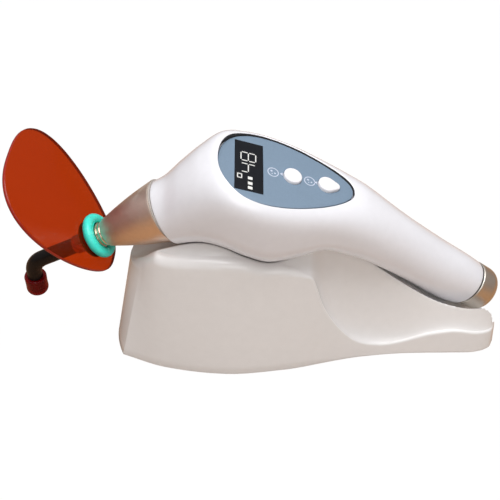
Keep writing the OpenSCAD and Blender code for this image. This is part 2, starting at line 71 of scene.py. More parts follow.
def turned(degrees, axis):
    return Matrix.Rotation(math.radians(degrees), 4, axis)


def moved(x, y, z):
    return Matrix.Translation((x, y, z))


nose_axis = Vector(joints["light_guide_turn"]["axis"])
nose_point = Vector(joints["light_guide_turn"]["pos_m"]) / MM
tail_point = Vector(joints["tail_cap_turn"]["pos_m"]) / MM
panel_axis = -Vector(joints["mode_button_press"]["axis"])
roll = math.degrees(math.atan2(nose_axis.y, -nose_axis.z))
nose_dip = math.degrees(math.acos(-nose_axis.x))
tail_dip = math.degrees(math.acos(-joints["tail_cap_turn"]["axis"][0]))
panel_slope = math.degrees(math.asin(panel_axis.x))

spin = turned(roll, "X")
docked = Matrix.Translation(nose_point - spin @ Vector((nose_point.x, 0, NOSE_TIP_Q))) @ spin
undock = docked.inverted()
on_nose = docked @ Matrix.Translation(undock @ nose_point) @ turned(-90 - nose_dip, "Y")
on_tail = docked @ Matrix.Translation(undock @ tail_point) @ turned(90 + tail_dip, "Y")
on_panel = docked @ moved(-10, 0, 80.8) @ turned(panel_slope, "Y")
on_tip = on_nose @ moved(-BEND_R, 0, ROD_REACH) @ turned(-BEND, "Y") @ moved(BEND_R, 0, 0)
on_shield = on_nose @ moved(0, 0, SHIELD_T) @ turned(-SHIELD_TILT, "Y") @ turned(SHIELD_TURN, "Z")

# ---------------------------------------------------------------- shape tables
# x, underside height, top height, half width, squareness of the upper half
SLICES = np.array([
    (-80, 30.6, 67.6, 16.0, 2.0), (-68.4, 37.2, 74.4, 16.4, 2.0), (-60, 42.0, 82.6, 18.6, 2.2),
    (-50, 45.0, 90.6, 21.8, 2.6), (-40, 43.5, 94.6, 25.2, 3.4), (-29, 38.5, 90.4, 27.4, 4.6),
    (-18, 34.8, 86.4, 27.9, 4.6), (-4, 38.0, 81.4, 25.6, 3.9), (8, 41.0, 76.4, 21.9, 3.4),
    (20, 34.2, 71.4, 18.8, 2.8), (30, 28.0, 65.6, 17.1, 2.4), (50, 11.9, 48.6, 14.1, 2.0),
    (70.5, -4.7, 30.3, 13.3, 2.0), (85.5, -12.7, 18.1, 11.8, 2.0), (98, -22.0, 6.4, 11.0, 2.0),
])
# x, half width of the footprint, height of the side lip
OUTLINE = np.array([
    (-92.5, 19.5, 60.0), (-70, 29.0, 63.5), (-38, 34.0, 67.0), (-10, 31.0, 61.0), (0, 28.8, 57.0),
    (4, 27.7, 53.5), (9, 26.3, 37.5), (16, 24.4, 24.0), (26, 22.0, 12.2), (39, 20.0, 7.6), (51, 18.8, 8.6),
    (64, 18.4, 12.6), (77, 18.2, 14.4), (89, 17.6, 12.6), (97, 14.0, 11.4), (99.5, 9.0, 11.0),
])
WALL = 2.2
PANEL_THICK = 1.6
NOSE_LENGTH, NOSE_TIP_R, NOSE_SEAM_R, SEAL_GAP = 33.8, 7.2, 15.8, 0.8
DOCK_GAP = 0.5
DRAFT, DRAFT_HEIGHT, END_LEAN, END_BULGE = 5.0, 65.0, 12.0, 4.0
CREST_RISE, CREST_GAIN, CREST_SHAPE, BASE_FOOT = 34.0, 20.0, 3.0, 0.8
WEB_FULLNESS = 0.6
PANEL_LENGTH, PANEL_WIDTH, PANEL_BLUNT, PANEL_TAPER = 68.0, 40.5, 0.88, 0.35


def power(v, e):
    return np.sign(v) * np.abs(v) ** e


def through(rows, x, c):
    """Piecewise cubic through the rows of a table, for one column."""
    x = np.asarray(x, float)
    xs, ys = rows[:, 0], rows[:, c]
    low = np.maximum(np.arange(len(xs)) - 1, 0)
    high = np.minimum(np.arange(len(xs)) + 1, len(xs) - 1)
    slope = (ys[high] - ys[low]) / (xs[high] - xs[low])
    k = np.clip(np.searchsorted(xs, x, side="right") - 1, 0, len(xs) - 2)
    h = xs[k + 1] - xs[k]
    u = (x - xs[k]) / h
    return (ys[k] * (1 + 2 * u) * (1 - u) ** 2 + slope[k] * h * u * (1 - u) ** 2
            + ys[k + 1] * u ** 2 * (3 - 2 * u) + slope[k + 1] * h * u ** 2 * (u - 1))


def panel_height(x):
    return 80.8 - (x + 10) * math.tan(math.radians(panel_slope))


def egg(len_x, len_y, blunt, taper, n=128):
    a = np.linspace(0, 2 * math.pi, n, endpoint=False)
    y = len_y / 2 * power(np.sin(a), blunt) * (1 - taper * np.cos(a))
    return np.stack([len_x / 2 * np.cos(a), y], 1)


def inset(outline, amount):
    """A closed outline moved inwards; a negative amount moves it outwards."""
    along = np.roll(outline, -1, 0) - np.roll(outline, 1, 0)
    along /= np.linalg.norm(along, axis=1)[:, None]
    inward = np.stack([-along[:, 1], along[:, 0]], 1)
    area = np.sum(outline[:, 0] * np.roll(outline[:, 1], -1) - outline[:, 1] * np.roll(outline[:, 0], -1))
    return outline + inward * amount * (1 if area > 0 else -1)


# ---------------------------------------------------------------- meshes
def placed(points, matrix):
    m = np.array(matrix)
    return np.asarray(points, float) @ m[:3, :3].T + m[:3, 3]


def tidy_mesh(obj, angle=34):
    """Welds, points normals outwards, smooths, and keeps edges above the angle sharp."""
    bm = bmesh.new()
    bm.from_mesh(obj.data)
    bmesh.ops.remove_doubles(bm, verts=bm.verts, dist=2e-6)
    bmesh.ops.recalc_face_normals(bm, faces=bm.faces)
    for face in bm.faces:
        face.smooth = True
    for edge in bm.edges:
        edge.smooth = edge.calc_face_angle(0) < math.radians(angle)
    bm.to_mesh(obj.data)
    bm.free()
    return obj


def make(name, points, faces, matrix=None, angle=34):
    if matrix is not None:
        points = placed(points, matrix)
    mesh = bpy.data.meshes.new(name)
    mesh.from_pydata((np.asarray(points, float) * MM).tolist(), [], [list(map(int, f)) for f in faces])
    obj = bpy.data.objects.new(name, mesh)
    bpy.context.scene.collection.objects.link(obj)
    return tidy_mesh(obj, angle)


def grid_faces(rows, cols, wrap=True, start=0, close=False):
    """Quads of a grid of points; wrap joins the last column to the first, close the last row to the first."""
    along, round_it = np.arange(rows if close else rows - 1), np.arange(cols if wrap else cols - 1)
    i, j = np.meshgrid(along, round_it, indexing="ij")
    a, b = i * cols + j, i * cols + (j + 1) % cols
    up = (i + 1) % rows - i
    return (np.stack([a, b, b + up * cols, a + up * cols], -1).reshape(-1, 4) + start).tolist()


def rounded(corners, steps=6):
    """Outline through (x, y, radius) corners, each rounded by its radius."""
    out = []
    for k, (x, y, r) in enumerate(corners):
        p = np.array((x, y), float)
        a = np.array(corners[k - 1][:2], float) - p
        b = np.array(corners[(k + 1) % len(corners)][:2], float) - p
        reach = min(r, 0.48 * np.linalg.norm(a), 0.48 * np.linalg.norm(b))
        if r <= 0:
            out.append(p)
            continue
        a, b = p + a / np.linalg.norm(a) * reach, p + b / np.linalg.norm(b) * reach
        out += [(1 - t) ** 2 * a + 2 * t * (1 - t) * p + t * t * b for t in np.linspace(0, 1, steps)]
    return np.array(out)


def lathe(name, profile, matrix, segments=128, angle=34):
    """Solid of a closed (radius, height) profile turned about the frame's z."""
    profile = np.asarray(profile, float)
    a = np.linspace(0, 2 * math.pi, segments, endpoint=False)
    r, z = profile[:, :1], np.repeat(profile[:, 1:2], segments, 1)
    points = np.stack([r * np.cos(a), r * np.sin(a), z], -1).reshape(-1, 3)
    return make(name, points, grid_faces(len(profile), segments, close=True), matrix, angle)


def plate(name, outline, sections, matrix, crown=0.0, rings=10, angle=34):
    """Stack of (inset, height) copies of an outline, flat below and crowned above."""
    loops = [np.c_[inset(outline, s), np.full(len(outline), z)] for s, z in sections]
    last = loops[-1]
    middle = last.mean(0)
    for k in range(1, rings + 1):
        u = 1 - k / rings
        ring = middle + (last - middle) * u
        ring[:, 2] = sections[-1][1] + crown * (1 - u * u)
        loops.append(ring)
    n = len(outline)
    faces = grid_faces(len(loops), n) + [list(range(n))[::-1]]
    return make(name, np.concatenate(loops), faces, matrix, angle)


def block(name, low, high, matrix=None):
    (x0, y0, z0), (x1, y1, z1) = low, high
    points = [(x, y, z) for z in (z0, z1) for x, y in ((x0, y0), (x1, y0), (x1, y1), (x0, y1))]
    return make(name, points, grid_faces(2, 4) + [[3, 2, 1, 0], [4, 5, 6, 7]], matrix)


def joined(name, parts):
    bm = bmesh.new()
    for part in parts:
        bm.from_mesh(part.data)
        bpy.data.objects.remove(part)
    mesh = bpy.data.meshes.new(name)
    bm.to_mesh(mesh)
    bm.free()
    obj = bpy.data.objects.new(name, mesh)
    bpy.context.scene.collection.objects.link(obj)
    return obj


def carve(obj, cutter, angle=34):
    """Cuts a solid out of another and keeps the result as a plain mesh."""
    change = obj.modifiers.new("carve", "BOOLEAN")
    change.operation, change.solver, change.object = "DIFFERENCE", "EXACT", cutter
    cutter.hide_render = True
    bpy.context.view_layer.update()
    result = bpy.data.meshes.new_from_object(obj.evaluated_get(bpy.context.evaluated_depsgraph_get()))
    obj.modifiers.clear()
    obj.data = result
    bpy.data.objects.remove(cutter)
    return tidy_mesh(obj, angle)


# ---------------------------------------------------------------- materials
def surface(name, colour, rough, metal=0.0, mottle=0.05, size=500.0, relief=0.05, place=None,
            lines=0.0, dirt=0.0, clear=0.0, tint=(1, 1, 1), **inputs):
    """Procedural finish: mottled colour, uneven gloss and a fine relief, in the place's own frame.

    size is in features per metre, lines turns the relief into rings about z,
    dirt darkens broad patches, and clear lets light straight through, tinted.
    """
    mat = bpy.data.materials.new(name)
    mat.use_nodes = True
    tree = mat.node_tree
    add, link = tree.nodes.new, tree.links.new
    shader = tree.nodes["Principled BSDF"]
    shader.inputs["Metallic"].default_value = metal
    for key, value in inputs.items():
        shader.inputs[key.replace("_", " ")].default_value = value
    coords, mapping = add("ShaderNodeTexCoord"), add("ShaderNodeMapping")
    mapping.vector_type = "TEXTURE"
    if place is not None:
        mapping.inputs["Location"].default_value = place.translation * MM
        mapping.inputs["Rotation"].default_value = place.to_euler()
    link(coords.outputs["Object"], mapping.inputs["Vector"])

    def noise(scale, detail=4.0, vector=mapping.outputs["Vector"]):
        n = add("ShaderNodeTexNoise")
        n.inputs["Scale"].default_value, n.inputs["Detail"].default_value = scale, detail
        link(vector, n.inputs["Vector"])
        return n.outputs["Fac"]

    def ranged(value, low, high, start=0.3, end=0.7):
        r = add("ShaderNodeMapRange")
        for key, v in (("From Min", start), ("From Max", end), ("To Min", low), ("To Max", high)):
            r.inputs[key].default_value = v
        link(value, r.inputs["Value"])
        return r.outputs["Result"]

    grain = ranged(noise(size), 1 - mottle, 1 + mottle)
    patches = ranged(noise(size * 0.06, 2.0), 1 - dirt, 1.0, 0.2, 0.8)
    shade = add("ShaderNodeMath")
    shade.operation = "MULTIPLY"
    link(grain, shade.inputs[0])
    link(patches, shade.inputs[1])
    paint = add("ShaderNodeVectorMath")
    paint.operation = "SCALE"
    paint.inputs[0].default_value = colour
    link(shade.outputs[0], paint.inputs["Scale"])
    link(paint.outputs[0], shader.inputs["Base Color"])
    link(ranged(noise(size * 0.2, 3.0), rough * 0.88, rough * 1.14, 0.15, 0.85), shader.inputs["Roughness"])
    bump = add("ShaderNodeBump")
    bump.inputs["Strength"].default_value = relief
    bump.inputs["Distance"].default_value = 0.0003
    if lines:
        only_z = add("ShaderNodeVectorMath")
        only_z.operation = "MULTIPLY"
        only_z.inputs[1].default_value = (0.02, 0.02, 1)
        link(mapping.outputs["Vector"], only_z.inputs[0])
        link(noise(lines, 2.0, only_z.outputs[0]), bump.inputs["Height"])
    else:
        link(noise(size * 4, 6.0), bump.inputs["Height"])
    link(bump.outputs["Normal"], shader.inputs["Normal"])
    if clear:
        see, mix = add("ShaderNodeBsdfTransparent"), add("ShaderNodeMixShader")
        see.inputs["Color"].default_value = (*tint, 1)
        mix.inputs["Fac"].default_value = clear
        link(shader.outputs[0], mix.inputs[1])
        link(see.outputs[0], mix.inputs[2])
        link(mix.outputs[0], tree.nodes["Material Output"].inputs["Surface"])
    return mat


finishes = {
    "housing": surface("housing", (0.80, 0.80, 0.84), 0.2, mottle=0.012, size=260, relief=0.012,
                       Coat_Weight=0.35, Coat_Roughness=0.06),
    "cradle": surface("cradle", (0.80, 0.785, 0.78), 0.24, mottle=0.012, size=220, relief=0.016,
                      Coat_Weight=0.25, Coat_Roughness=0.1),
    "nose_metal": surface("nose_metal", (0.82, 0.72, 0.64), 0.48, 1.0, mottle=0.03, relief=0.06,
                          place=on_nose, lines=2600, dirt=0.04, Anisotropic=0.3),
    "tail_metal": surface("tail_metal", (0.66, 0.62, 0.56), 0.4, 1.0, mottle=0.03, relief=0.06,
                          place=on_tail, lines=2600, dirt=0.04, Anisotropic=0.3),
    "seam_seal": surface("seam_seal", (0.42, 0.38, 0.35), 0.5, mottle=0.08, relief=0.1),
    # This dark gasket finish also serves as painted shade on the wall of the panel recess.
    "gasket": surface("gasket", (0.05, 0.048, 0.05), 0.6, mottle=0.2, relief=0.2),
    "panel": surface("panel", (0.165, 0.235, 0.318), 0.45, mottle=0.03, size=900, relief=0.06, dirt=0.03),
    "display": surface("display", (0.008, 0.009, 0.012), 0.3, mottle=0.1, relief=0.004, dirt=0.1,
                       Specular_IOR_Level=0.15),
    "display_core": surface("display_core", (0.12, 0.12, 0.13), 0.5, mottle=0.1),
    "button": surface("button", (0.86, 0.85, 0.88), 0.25, mottle=0.012, size=400, relief=0.015, dirt=0.02,
                      Coat_Weight=0.2),
    "steel": surface("steel", (0.74, 0.69, 0.65), 0.13, 1.0, mottle=0.05, relief=0.03, place=on_nose,
                     lines=3000, dirt=0.08),
    "ferrule": surface("ferrule", (0.85, 0.66, 0.52), 0.16, 1.0, mottle=0.05, relief=0.03, place=on_nose,
                       lines=3000, dirt=0.1),
    "heat_sink": surface("heat_sink", (0.74, 0.75, 0.76), 0.3, 1.0, mottle=0.04, relief=0.06),
    "led": surface("led", (0.85, 0.72, 0.2), 0.45, mottle=0.1, relief=0.05),
    "lens": surface("lens", (0.9, 0.95, 0.97), 0.03, mottle=0.01, relief=0.002, Transmission_Weight=0.9),
    "circuit_board": surface("circuit_board", (0.03, 0.2, 0.09), 0.35, mottle=0.25, size=700, relief=0.1),
    "component": surface("component", (0.03, 0.03, 0.03), 0.5, mottle=0.2, relief=0.15),
    "battery_wrap": surface("battery_wrap", (0.05, 0.3, 0.22), 0.3, mottle=0.08, relief=0.05, dirt=0.1),
    "gold": surface("gold", (0.9, 0.68, 0.3), 0.22, 1.0, mottle=0.06, relief=0.04, dirt=0.1),
    "rod": surface("rod", (0.008, 0.007, 0.007), 0.28, mottle=0.3, size=300, relief=0.02, dirt=0.2,
                   Specular_IOR_Level=0.2),
    "tip_cap": surface("tip_cap", (0.17, 0.001, 0.003), 0.25, mottle=0.12, size=300, relief=0.06, dirt=0.15,
                       clear=0.35, tint=(0.6, 0.01, 0.02), Specular_IOR_Level=0.3),
    "shield": surface("shield", (0.26, 0.028, 0.003), 0.16, mottle=0.04, size=120, relief=0.006, dirt=0.1,
                      clear=0.72, tint=(0.76, 0.21, 0.045), Specular_IOR_Level=0.35),
    "shield_edge": surface("shield_edge", (0.30, 0.012, 0.004), 0.25, mottle=0.1, size=300, relief=0.08),
    "shield_ring": surface("shield_ring", (0.05, 0.75, 0.62), 0.26, mottle=0.06, size=500, relief=0.06,
                           dirt=0.1, Subsurface_Weight=0.15, Subsurface_Scale=0.002),
    "plate": surface("plate", (0.3, 0.3, 0.31), 0.5, mottle=0.06, relief=0.12),
    "feet": surface("feet", (0.03, 0.03, 0.03), 0.75, mottle=0.2, relief=0.3),
    "ballast": surface("ballast", (0.25, 0.27, 0.29), 0.4, 0.6, mottle=0.15, relief=0.15, dirt=0.2),
    "print": surface("print", (0.50, 0.55, 0.66), 0.4, mottle=0.05, size=900, relief=0.04),
    "digits": surface("digits", (0.62, 0.62, 0.60), 0.4, mottle=0.15, size=1500, relief=0.02,
                      Emission_Color=(0.95, 0.95, 0.9, 1), Emission_Strength=0.12),
}


def piece(obj, body, slot, *stands_for, finish=None):
    """Gives a mesh its finish and its place on a body, and hides the CAD nodes it stands for."""
    obj.data.materials.clear()
    obj.data.materials.append(finishes[finish or slot])
    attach(obj, body)
    if stands_for:
        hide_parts(*stands_for)
    return obj


for part in frame["record"]["subparts"]:
    shown = nodes[part["node"]]
    shown.data.materials.clear()
    shown.data.materials.append(finishes[part["material_slot"]])

# ---------------------------------------------------------------- housing
SIDES = 192
heading = np.linspace(0, 2 * math.pi, SIDES, endpoint=False)


def skin(x, direction, depth):
    """Point of the handpiece's skin at slice x in a direction, a depth inside it, in the docked frame."""
    x, direction = np.broadcast_arrays(np.asarray(x, float), direction)
    under, rim, half = through(SLICES, x, 1), through(SLICES, x, 2), through(SLICES, x, 3) - depth
    mid = (under + rim) / 2
    rim = rim - 1.25 * depth
    ceiling = panel_height(x) - PANEL_THICK - 3.2 + np.maximum(0, x - 18) * 2 + np.maximum(0, -44 - x) * 3
    top = np.minimum(rim, ceiling) if depth > 0 else rim
    upper = np.sin(direction) > 0
    e = np.where(upper, 2 / through(SLICES, x, 4), 1.0)
    a = np.arctan2(np.abs(np.sin(direction)) ** (1 / e), np.abs(np.cos(direction)) ** (1 / e))
    y = half * np.sign(np.cos(direction)) * np.cos(a) ** e
    z = mid + np.where(upper, top - mid, under + 1.25 * depth - mid) * np.sin(a) ** e
    return np.stack([x, y, z], -1)


def seam_x(low, high, depth, origin, axis):
    """Where each direction's line of the skin meets a seam plane, by halving."""
    a, b = np.full(SIDES, float(low)), np.full(SIDES, float(high))
    rising = ((skin(b, heading, depth) - origin) @ axis)[0] > 0
    for _ in range(40):
        m = (a + b) / 2
        past = ((skin(m, heading, depth) - origin) @ axis > 0) == rising
        a, b = np.where(past, a, m), np.where(past, m, b)
    return (a + b) / 2


nose_out = np.array((undock.to_3x3() @ nose_axis)[:])
tail_out = np.array((undock.to_3x3() @ -Vector(joints["tail_cap_turn"]["axis"]))[:])
nose_seam = np.array((undock @ nose_point)[:]) - nose_out * (NOSE_LENGTH + SEAL_GAP)
tail_seam = np.array((undock @ tail_point)[:])


def skin_rings(depth, count, lip):
    """Rings of the skin from seam to seam, turned in by a small radius at each seam."""
    start = seam_x(-80, -40, depth, nose_seam, nose_out)
    end = seam_x(70, 98, depth, tail_seam, tail_out)
    edge = lip * np.array([0, 0.12, 0.4, 1.0])
    rings = []
    for d in edge:
        rings.append(start + d)
    for u in np.linspace(0, 1, count)[1:-1]:
        rings.append(start + lip + (end - start - 2 * lip) * u)
    for d in edge[::-1]:
        rings.append(end - d)
    points = np.array([skin(x, heading, depth) for x in rings])
    middle = points.mean(1, keepdims=True)
    for k in list(range(3)) + list(range(len(rings) - 3, len(rings))):
        d = edge[k] if k < 3 else edge[len(rings) - 1 - k]
        inward = middle[k] - points[k]
        inward /= np.linalg.norm(inward, axis=-1, keepdims=True)
        points[k] += inward * (lip - math.sqrt(lip ** 2 - (lip - d) ** 2))
    return points


outer, inner = skin_rings(0.0, 260, 0.6), skin_rings(WALL, 70, 0.2)
split = len(outer) * SIDES
hull = np.concatenate([outer.reshape(-1, 3), inner.reshape(-1, 3)])
faces = grid_faces(len(outer), SIDES) + grid_faces(len(inner), SIDES, start=split)
for a, b in ((0, split), (split - SIDES, split + (len(inner) - 1) * SIDES)):
    faces += [[a + j, a + (j + 1) % SIDES, b + (j + 1) % SIDES, b + j] for j in range(SIDES)]
housing = make("housing_shell", hull, faces, docked)

# The panel's recess, with its upper edge rolled over into the skin.
recess = egg(PANEL_LENGTH, PANEL_WIDTH, PANEL_BLUNT, PANEL_TAPER, 160)
panel_place = undock @ on_panel


def skin_above(outline):
    """Height of the outer skin over the panel plane, along an outline on that plane."""
    z = np.zeros(len(outline))
    m = np.array(panel_place)
    for _ in range(6):
        p = np.c_[outline, z] @ m[:3, :3].T + m[:3, 3]
        under, rim = through(SLICES, p[:, 0], 1), through(SLICES, p[:, 0], 2)
        half, square = through(SLICES, p[:, 0], 3), through(SLICES, p[:, 0], 4)
        mid = (under + rim) / 2
        share = np.clip(1 - (np.abs(p[:, 1]) / half) ** square, 1e-6, 1)
        z = z + (mid + (rim - mid) * share ** (1 / square) - p[:, 2]) * math.cos(math.radians(panel_slope))
    return z


roll_r, slack = 0.8, 0.2
steps = ((3, -17), (3, -PANEL_THICK), (-slack, -PANEL_THICK))
loops = [np.c_[inset(recess, s), np.full(len(recess), z)] for s, z in steps]
for turn in range(0, 76, 15):
    t = math.radians(turn)
    line = inset(recess, -slack - roll_r * (1 - math.cos(t)))
    loops.append(np.c_[line, skin_above(line) - roll_r + roll_r * math.sin(t)])
line = inset(recess, -slack - roll_r * 1.02)
loops.append(np.c_[line, skin_above(line) + 0.25])
loops.append(np.c_[line, np.full(len(line), 14.0)])
n = len(recess)
cutter = make("recess", np.concatenate(loops), grid_faces(len(loops), n) + [list(range(n))[::-1],
              [(len(loops) - 1) * n + k for k in range(n)]], on_panel)
carve(housing, cutter)
carve(housing, lathe("bore", [(0, -9.1), (10.75, -9.1), (10.75, 0.9), (0, 0.9)], on_tail, 96))
piece(housing, "handpiece", "housing", "housing")

# The wall of the recess takes the dark gasket finish as painted shade, standing for the shadow in the gap round
# the panel.
housing.data.materials.append(finishes["gasket"])
to_panel = np.array(on_panel.inverted())
for face in housing.data.polygons:
    x, y, z = to_panel[:3, :3] @ (np.array(face.center) / MM) + to_panel[:3, 3]
    if -2 < z < 5 and abs(face.normal @ panel_axis) < 0.5:
        away = np.min(np.hypot(*(recess - (x, y)).T))
        face.material_index = int(away < 0.9)

# ---------------------------------------------------------------- nose, seal and tail
def nose_r(t):
    """Radius of the nose cone at a height on its axis."""
    rows = [(-NOSE_LENGTH, NOSE_SEAM_R), (-0.64 * NOSE_LENGTH, 13.22),
            (-0.32 * NOSE_LENGTH, 10.3), (-1, NOSE_TIP_R)]
    return float(through(np.array(rows), t, 1))


outline = [(nose_r(t), t) for t in np.linspace(-NOSE_LENGTH + 0.4, -1.4, 40)]
profile = [(5.06, -14.2), (8.5, -15), (8.5, -20.5), (10.6, -25.5), (12.15, -26), (12.15, -NOSE_LENGTH),
           (NOSE_SEAM_R - 0.35, -NOSE_LENGTH), (NOSE_SEAM_R - 0.08, -NOSE_LENGTH + 0.12)] + outline
profile += [(7.1, -0.8), (6.95, -0.4), (6.65, -0.1), (6.2, 0), (5.5, 0), (5.25, -0.1), (5.06, -0.4)]
piece(lathe("nose_cone_turned", profile, on_nose, 160), "handpiece", "nose_metal", "nose_cone")
seal = [(12.4, -NOSE_LENGTH - 0.75), (15.35, -NOSE_LENGTH - 0.75), (15.5, -NOSE_LENGTH - 0.4),
        (15.35, -NOSE_LENGTH - 0.05), (12.4, -NOSE_LENGTH - 0.05)]
piece(lathe("nose_seal_ring", seal, on_nose, 128), "handpiece", "seam_seal", "nose_seal")

cap = rounded([(0, 2.4, 0), (8.4, 2.4, 0), (8.4, -3.4, 0), (10, -3.4, 0.3), (10, 0.8, 0), (11.2, 0.8, 0.1),
               (11.6, 1.3, 0.5), (11.6, 13.6, 5.6), (0, 13.75, 0)], 14)
piece(lathe("tail_cap_turned", cap, on_tail, 128), "tail_cap", "nose_metal", "tail_cap",
      finish="tail_metal")

# ---------------------------------------------------------------- light guide
BORE, SHANK, COLLAR, GROOVE, SLEEVE, NECK = 4.03, 5.0, 6.3, 5.7, 4.7, 4.45
ferrule = rounded([
    (BORE, -13.6, 0), (4.7, -13.6, 0), (SHANK, -13.3, 0.2), (SHANK, 0.3, 0), (5.9, 0.3, 0.1),
    (COLLAR, 0.7, 0.3), (COLLAR, 1.7, 0.15), (GROOVE, 2.0, 0.1), (GROOVE, 2.5, 0.1), (COLLAR, 2.8, 0.15),
    (COLLAR, 12.2, 0.4), (5.9, 12.7, 0.3), (SLEEVE, 12.7, 0.2), (SLEEVE, 16.4, 0.2), (NECK, 16.7, 0.1),
    (NECK, 17.2, 0.1), (SLEEVE, 17.5, 0.2), (SLEEVE, 18.6, 0.3), (NECK, 19, 0.2), (BORE, 19, 0)], 5)
piece(lathe("ferrule_turned", ferrule, on_nose, 128), "light_guide", "steel", "guide_ferrule",
      finish="ferrule")

ROD_BACK, ROD_SIDES, BEND_SWELL = -13.4, 64, 0.12
rings = [(on_nose @ moved(0, 0, t), ROD_R) for t in np.linspace(ROD_BACK, ROD_REACH, 24)]
for a in np.linspace(0, BEND, 40)[1:]:
    bend = on_nose @ moved(-BEND_R, 0, ROD_REACH) @ turned(-a, "Y") @ moved(BEND_R, 0, 0)
    rings.append((bend, ROD_R + BEND_SWELL * math.sin(math.pi * a / BEND)))
rings += [(on_tip @ moved(0, 0, t), ROD_R) for t in np.linspace(0, ROD_TIP - 0.3, 10)[1:]]
rings += [(on_tip @ moved(0, 0, ROD_TIP), ROD_R - 0.3)]
circle = np.linspace(0, 2 * math.pi, ROD_SIDES, endpoint=False)
points = np.concatenate([placed(np.stack([r * np.cos(circle), r * np.sin(circle), 0 * circle], 1), m)
                         for m, r in rings])
ends = [list(range(ROD_SIDES))[::-1], [(len(rings) - 1) * ROD_SIDES + k for k in range(ROD_SIDES)]]
rod = make("rod_sheath", points, grid_faces(len(rings), ROD_SIDES) + ends)
piece(rod, "light_guide", "rod", "light_guide_rod")

sleeve = rounded([(4.06, 3.5, 0), (5.3, 3.5, 0.5), (5.75, 4.4, 0.5), (5.6, 9.5, 1), (5.75, 13.6, 1.5),
                  (4.2, 15.45, 1.6), (0, 15.5, 0), (0, 13.6, 0), (4.06, 13.6, 0)], 8)
piece(lathe("tip_cap_moulded", sleeve, on_tip, 96), "tip_cap", "tip_cap", "tip_cap")

# ---------------------------------------------------------------- eye shield
THICK = 2.0
lens = egg(79, 63, 0.75, -0.3, 200) + np.array((SHIELD_OFFSET, 0))
sections = [(0.7, 0), (0.25, 0.15), (0, 0.6), (0, THICK - 0.6), (0.25, THICK - 0.15), (0.7, THICK)]
shield = plate("shield_sheet", lens, sections, on_shield, 0.0, 16, 50)
hole = lathe("hole", [(0, -3), (7.95, -3), (7.95, 5), (0, 5)], on_shield, 96)
carve(shield, hole, 50)
piece(shield, "eye_shield", "shield", "eye_shield")
shield.data.materials.append(finishes["shield_edge"])
away = np.array(on_shield.to_3x3())[:, 2]
for face in shield.data.polygons:
    if abs(np.dot(face.normal, away)) < 0.75:
        face.material_index = 1

WIRE_MID, GRIP_WIRE, GRIP_BORE = 9.1, 2.4, 6.72
wire = [(WIRE_MID + GRIP_WIRE * math.cos(a), -2.5 + GRIP_WIRE * math.sin(a))
        for a in np.linspace(-math.pi * 0.86, math.pi * 0.42, 30)]
flange = [(7.8, 0.1), (7.8, THICK), (9.1, THICK + 0.05), (9.4, THICK + 0.35), (9.35, THICK + 0.9),
          (9.0, THICK + 1.25), (7.2, THICK + 1.3), (GRIP_BORE, THICK + 1.0)]
grip = [(GRIP_BORE, -4.3)] + wire + flange
piece(lathe("shield_grip", grip, on_shield, 128), "eye_shield", "shield_ring", "shield_ring")

# ---------------------------------------------------------------- control panel
DISPLAY_X, DISPLAY_L, DISPLAY_W = -18.6, 13.8, 31.0
MODE_X, POWER_X = 2.8, 20.0
DROP_R, DROP_TIP_R, DROP_REACH = 4.4, 2.2, 4.2
panel = plate("panel_plate", recess, [(0.3, -PANEL_THICK + 0.02), (0.3, -0.5), (0.5, -0.12), (1.0, 0.0)],
              on_panel, 0.35, 14)
angles = np.linspace(0, 2 * math.pi, 96, endpoint=False)


def drop(grow):
    """Teardrop outline of the power button: two circles and their tangents."""
    lean = math.acos((DROP_R - DROP_TIP_R) / DROP_REACH)
    near, far = DROP_R + grow, DROP_TIP_R + grow
    big = [(near * math.cos(a), near * math.sin(a)) for a in np.linspace(lean, 2 * math.pi - lean, 64)]
    small = [(DROP_REACH + far * math.cos(a), far * math.sin(a)) for a in np.linspace(-lean, lean, 28)]
    return np.array(big + small)


def disc(r):
    return np.stack([r * np.cos(angles), r * np.sin(angles)], 1)


window = np.array([(-DISPLAY_L / 2, -DISPLAY_W / 2), (DISPLAY_L / 2, -DISPLAY_W / 2),
                   (DISPLAY_L / 2, DISPLAY_W / 2), (-DISPLAY_L / 2, DISPLAY_W / 2)])
holes = [
    block("h", (DISPLAY_X - 7.0, -15.6, -3), (DISPLAY_X + 7.0, 15.6, 3), on_panel),
    plate("h", disc(4.7), [(0, -3), (0, 3)], on_panel @ moved(MODE_X, 0, 0), rings=1),
    plate("h", drop(0.2), [(0, -3), (0, 3)], on_panel @ moved(POWER_X, 0, 0), rings=1),
]
carve(panel, joined("holes", holes))
piece(panel, "handpiece", "panel", "control_panel")

corners = [(x, y, 0.5) for x, y in window]
glass = plate("display_glass", rounded(corners, 5), [(0, -1.5), (0, 0.22), (0.12, 0.36), (0.35, 0.4)],
              on_panel @ moved(DISPLAY_X, 0, 0), 0.04, 4)
piece(glass, "handpiece", "display", "display_window")

mode = plate("mode_button_cap", disc(4.5), [(0, -1.8), (0, 1.1), (0.1, 1.5), (0.45, 1.85), (1.0, 2.0)],
             on_panel @ moved(MODE_X, 0, 0), 0.35, 12)
power = plate("power_button_cap", drop(0), [(0, -1.8), (0, 1.1), (0.1, 1.5), (0.45, 1.85), (1.0, 2.0)],
              on_panel @ moved(POWER_X, 0, 0), 0.3, 12)
for cap_mesh, x, r, name in ((mode, MODE_X, 5.7, "mode_button"), (power, POWER_X, 5.4, "power_button")):
    stem = lathe("stem", [(0, -4.6), (1.6, -4.6), (1.6, -2.5), (r, -2.5), (r, -1.75), (0, -1.75)],
                 on_panel @ moved(x, 0, 0), 64)
    whole = joined(name + "_moulding", [cap_mesh, stem])
    piece(whole, name, "button", name)

# Segments of the two digits, in digit units: x across, y up, each a bar.
BARS = {"a": (0.5, 2, 0), "g": (0.5, 1, 0), "d": (0.5, 0, 0), "f": (0, 1.5, 1),
        "b": (1, 1.5, 1), "e": (0, 0.5, 1), "c": (1, 0.5, 1)}
marks = []


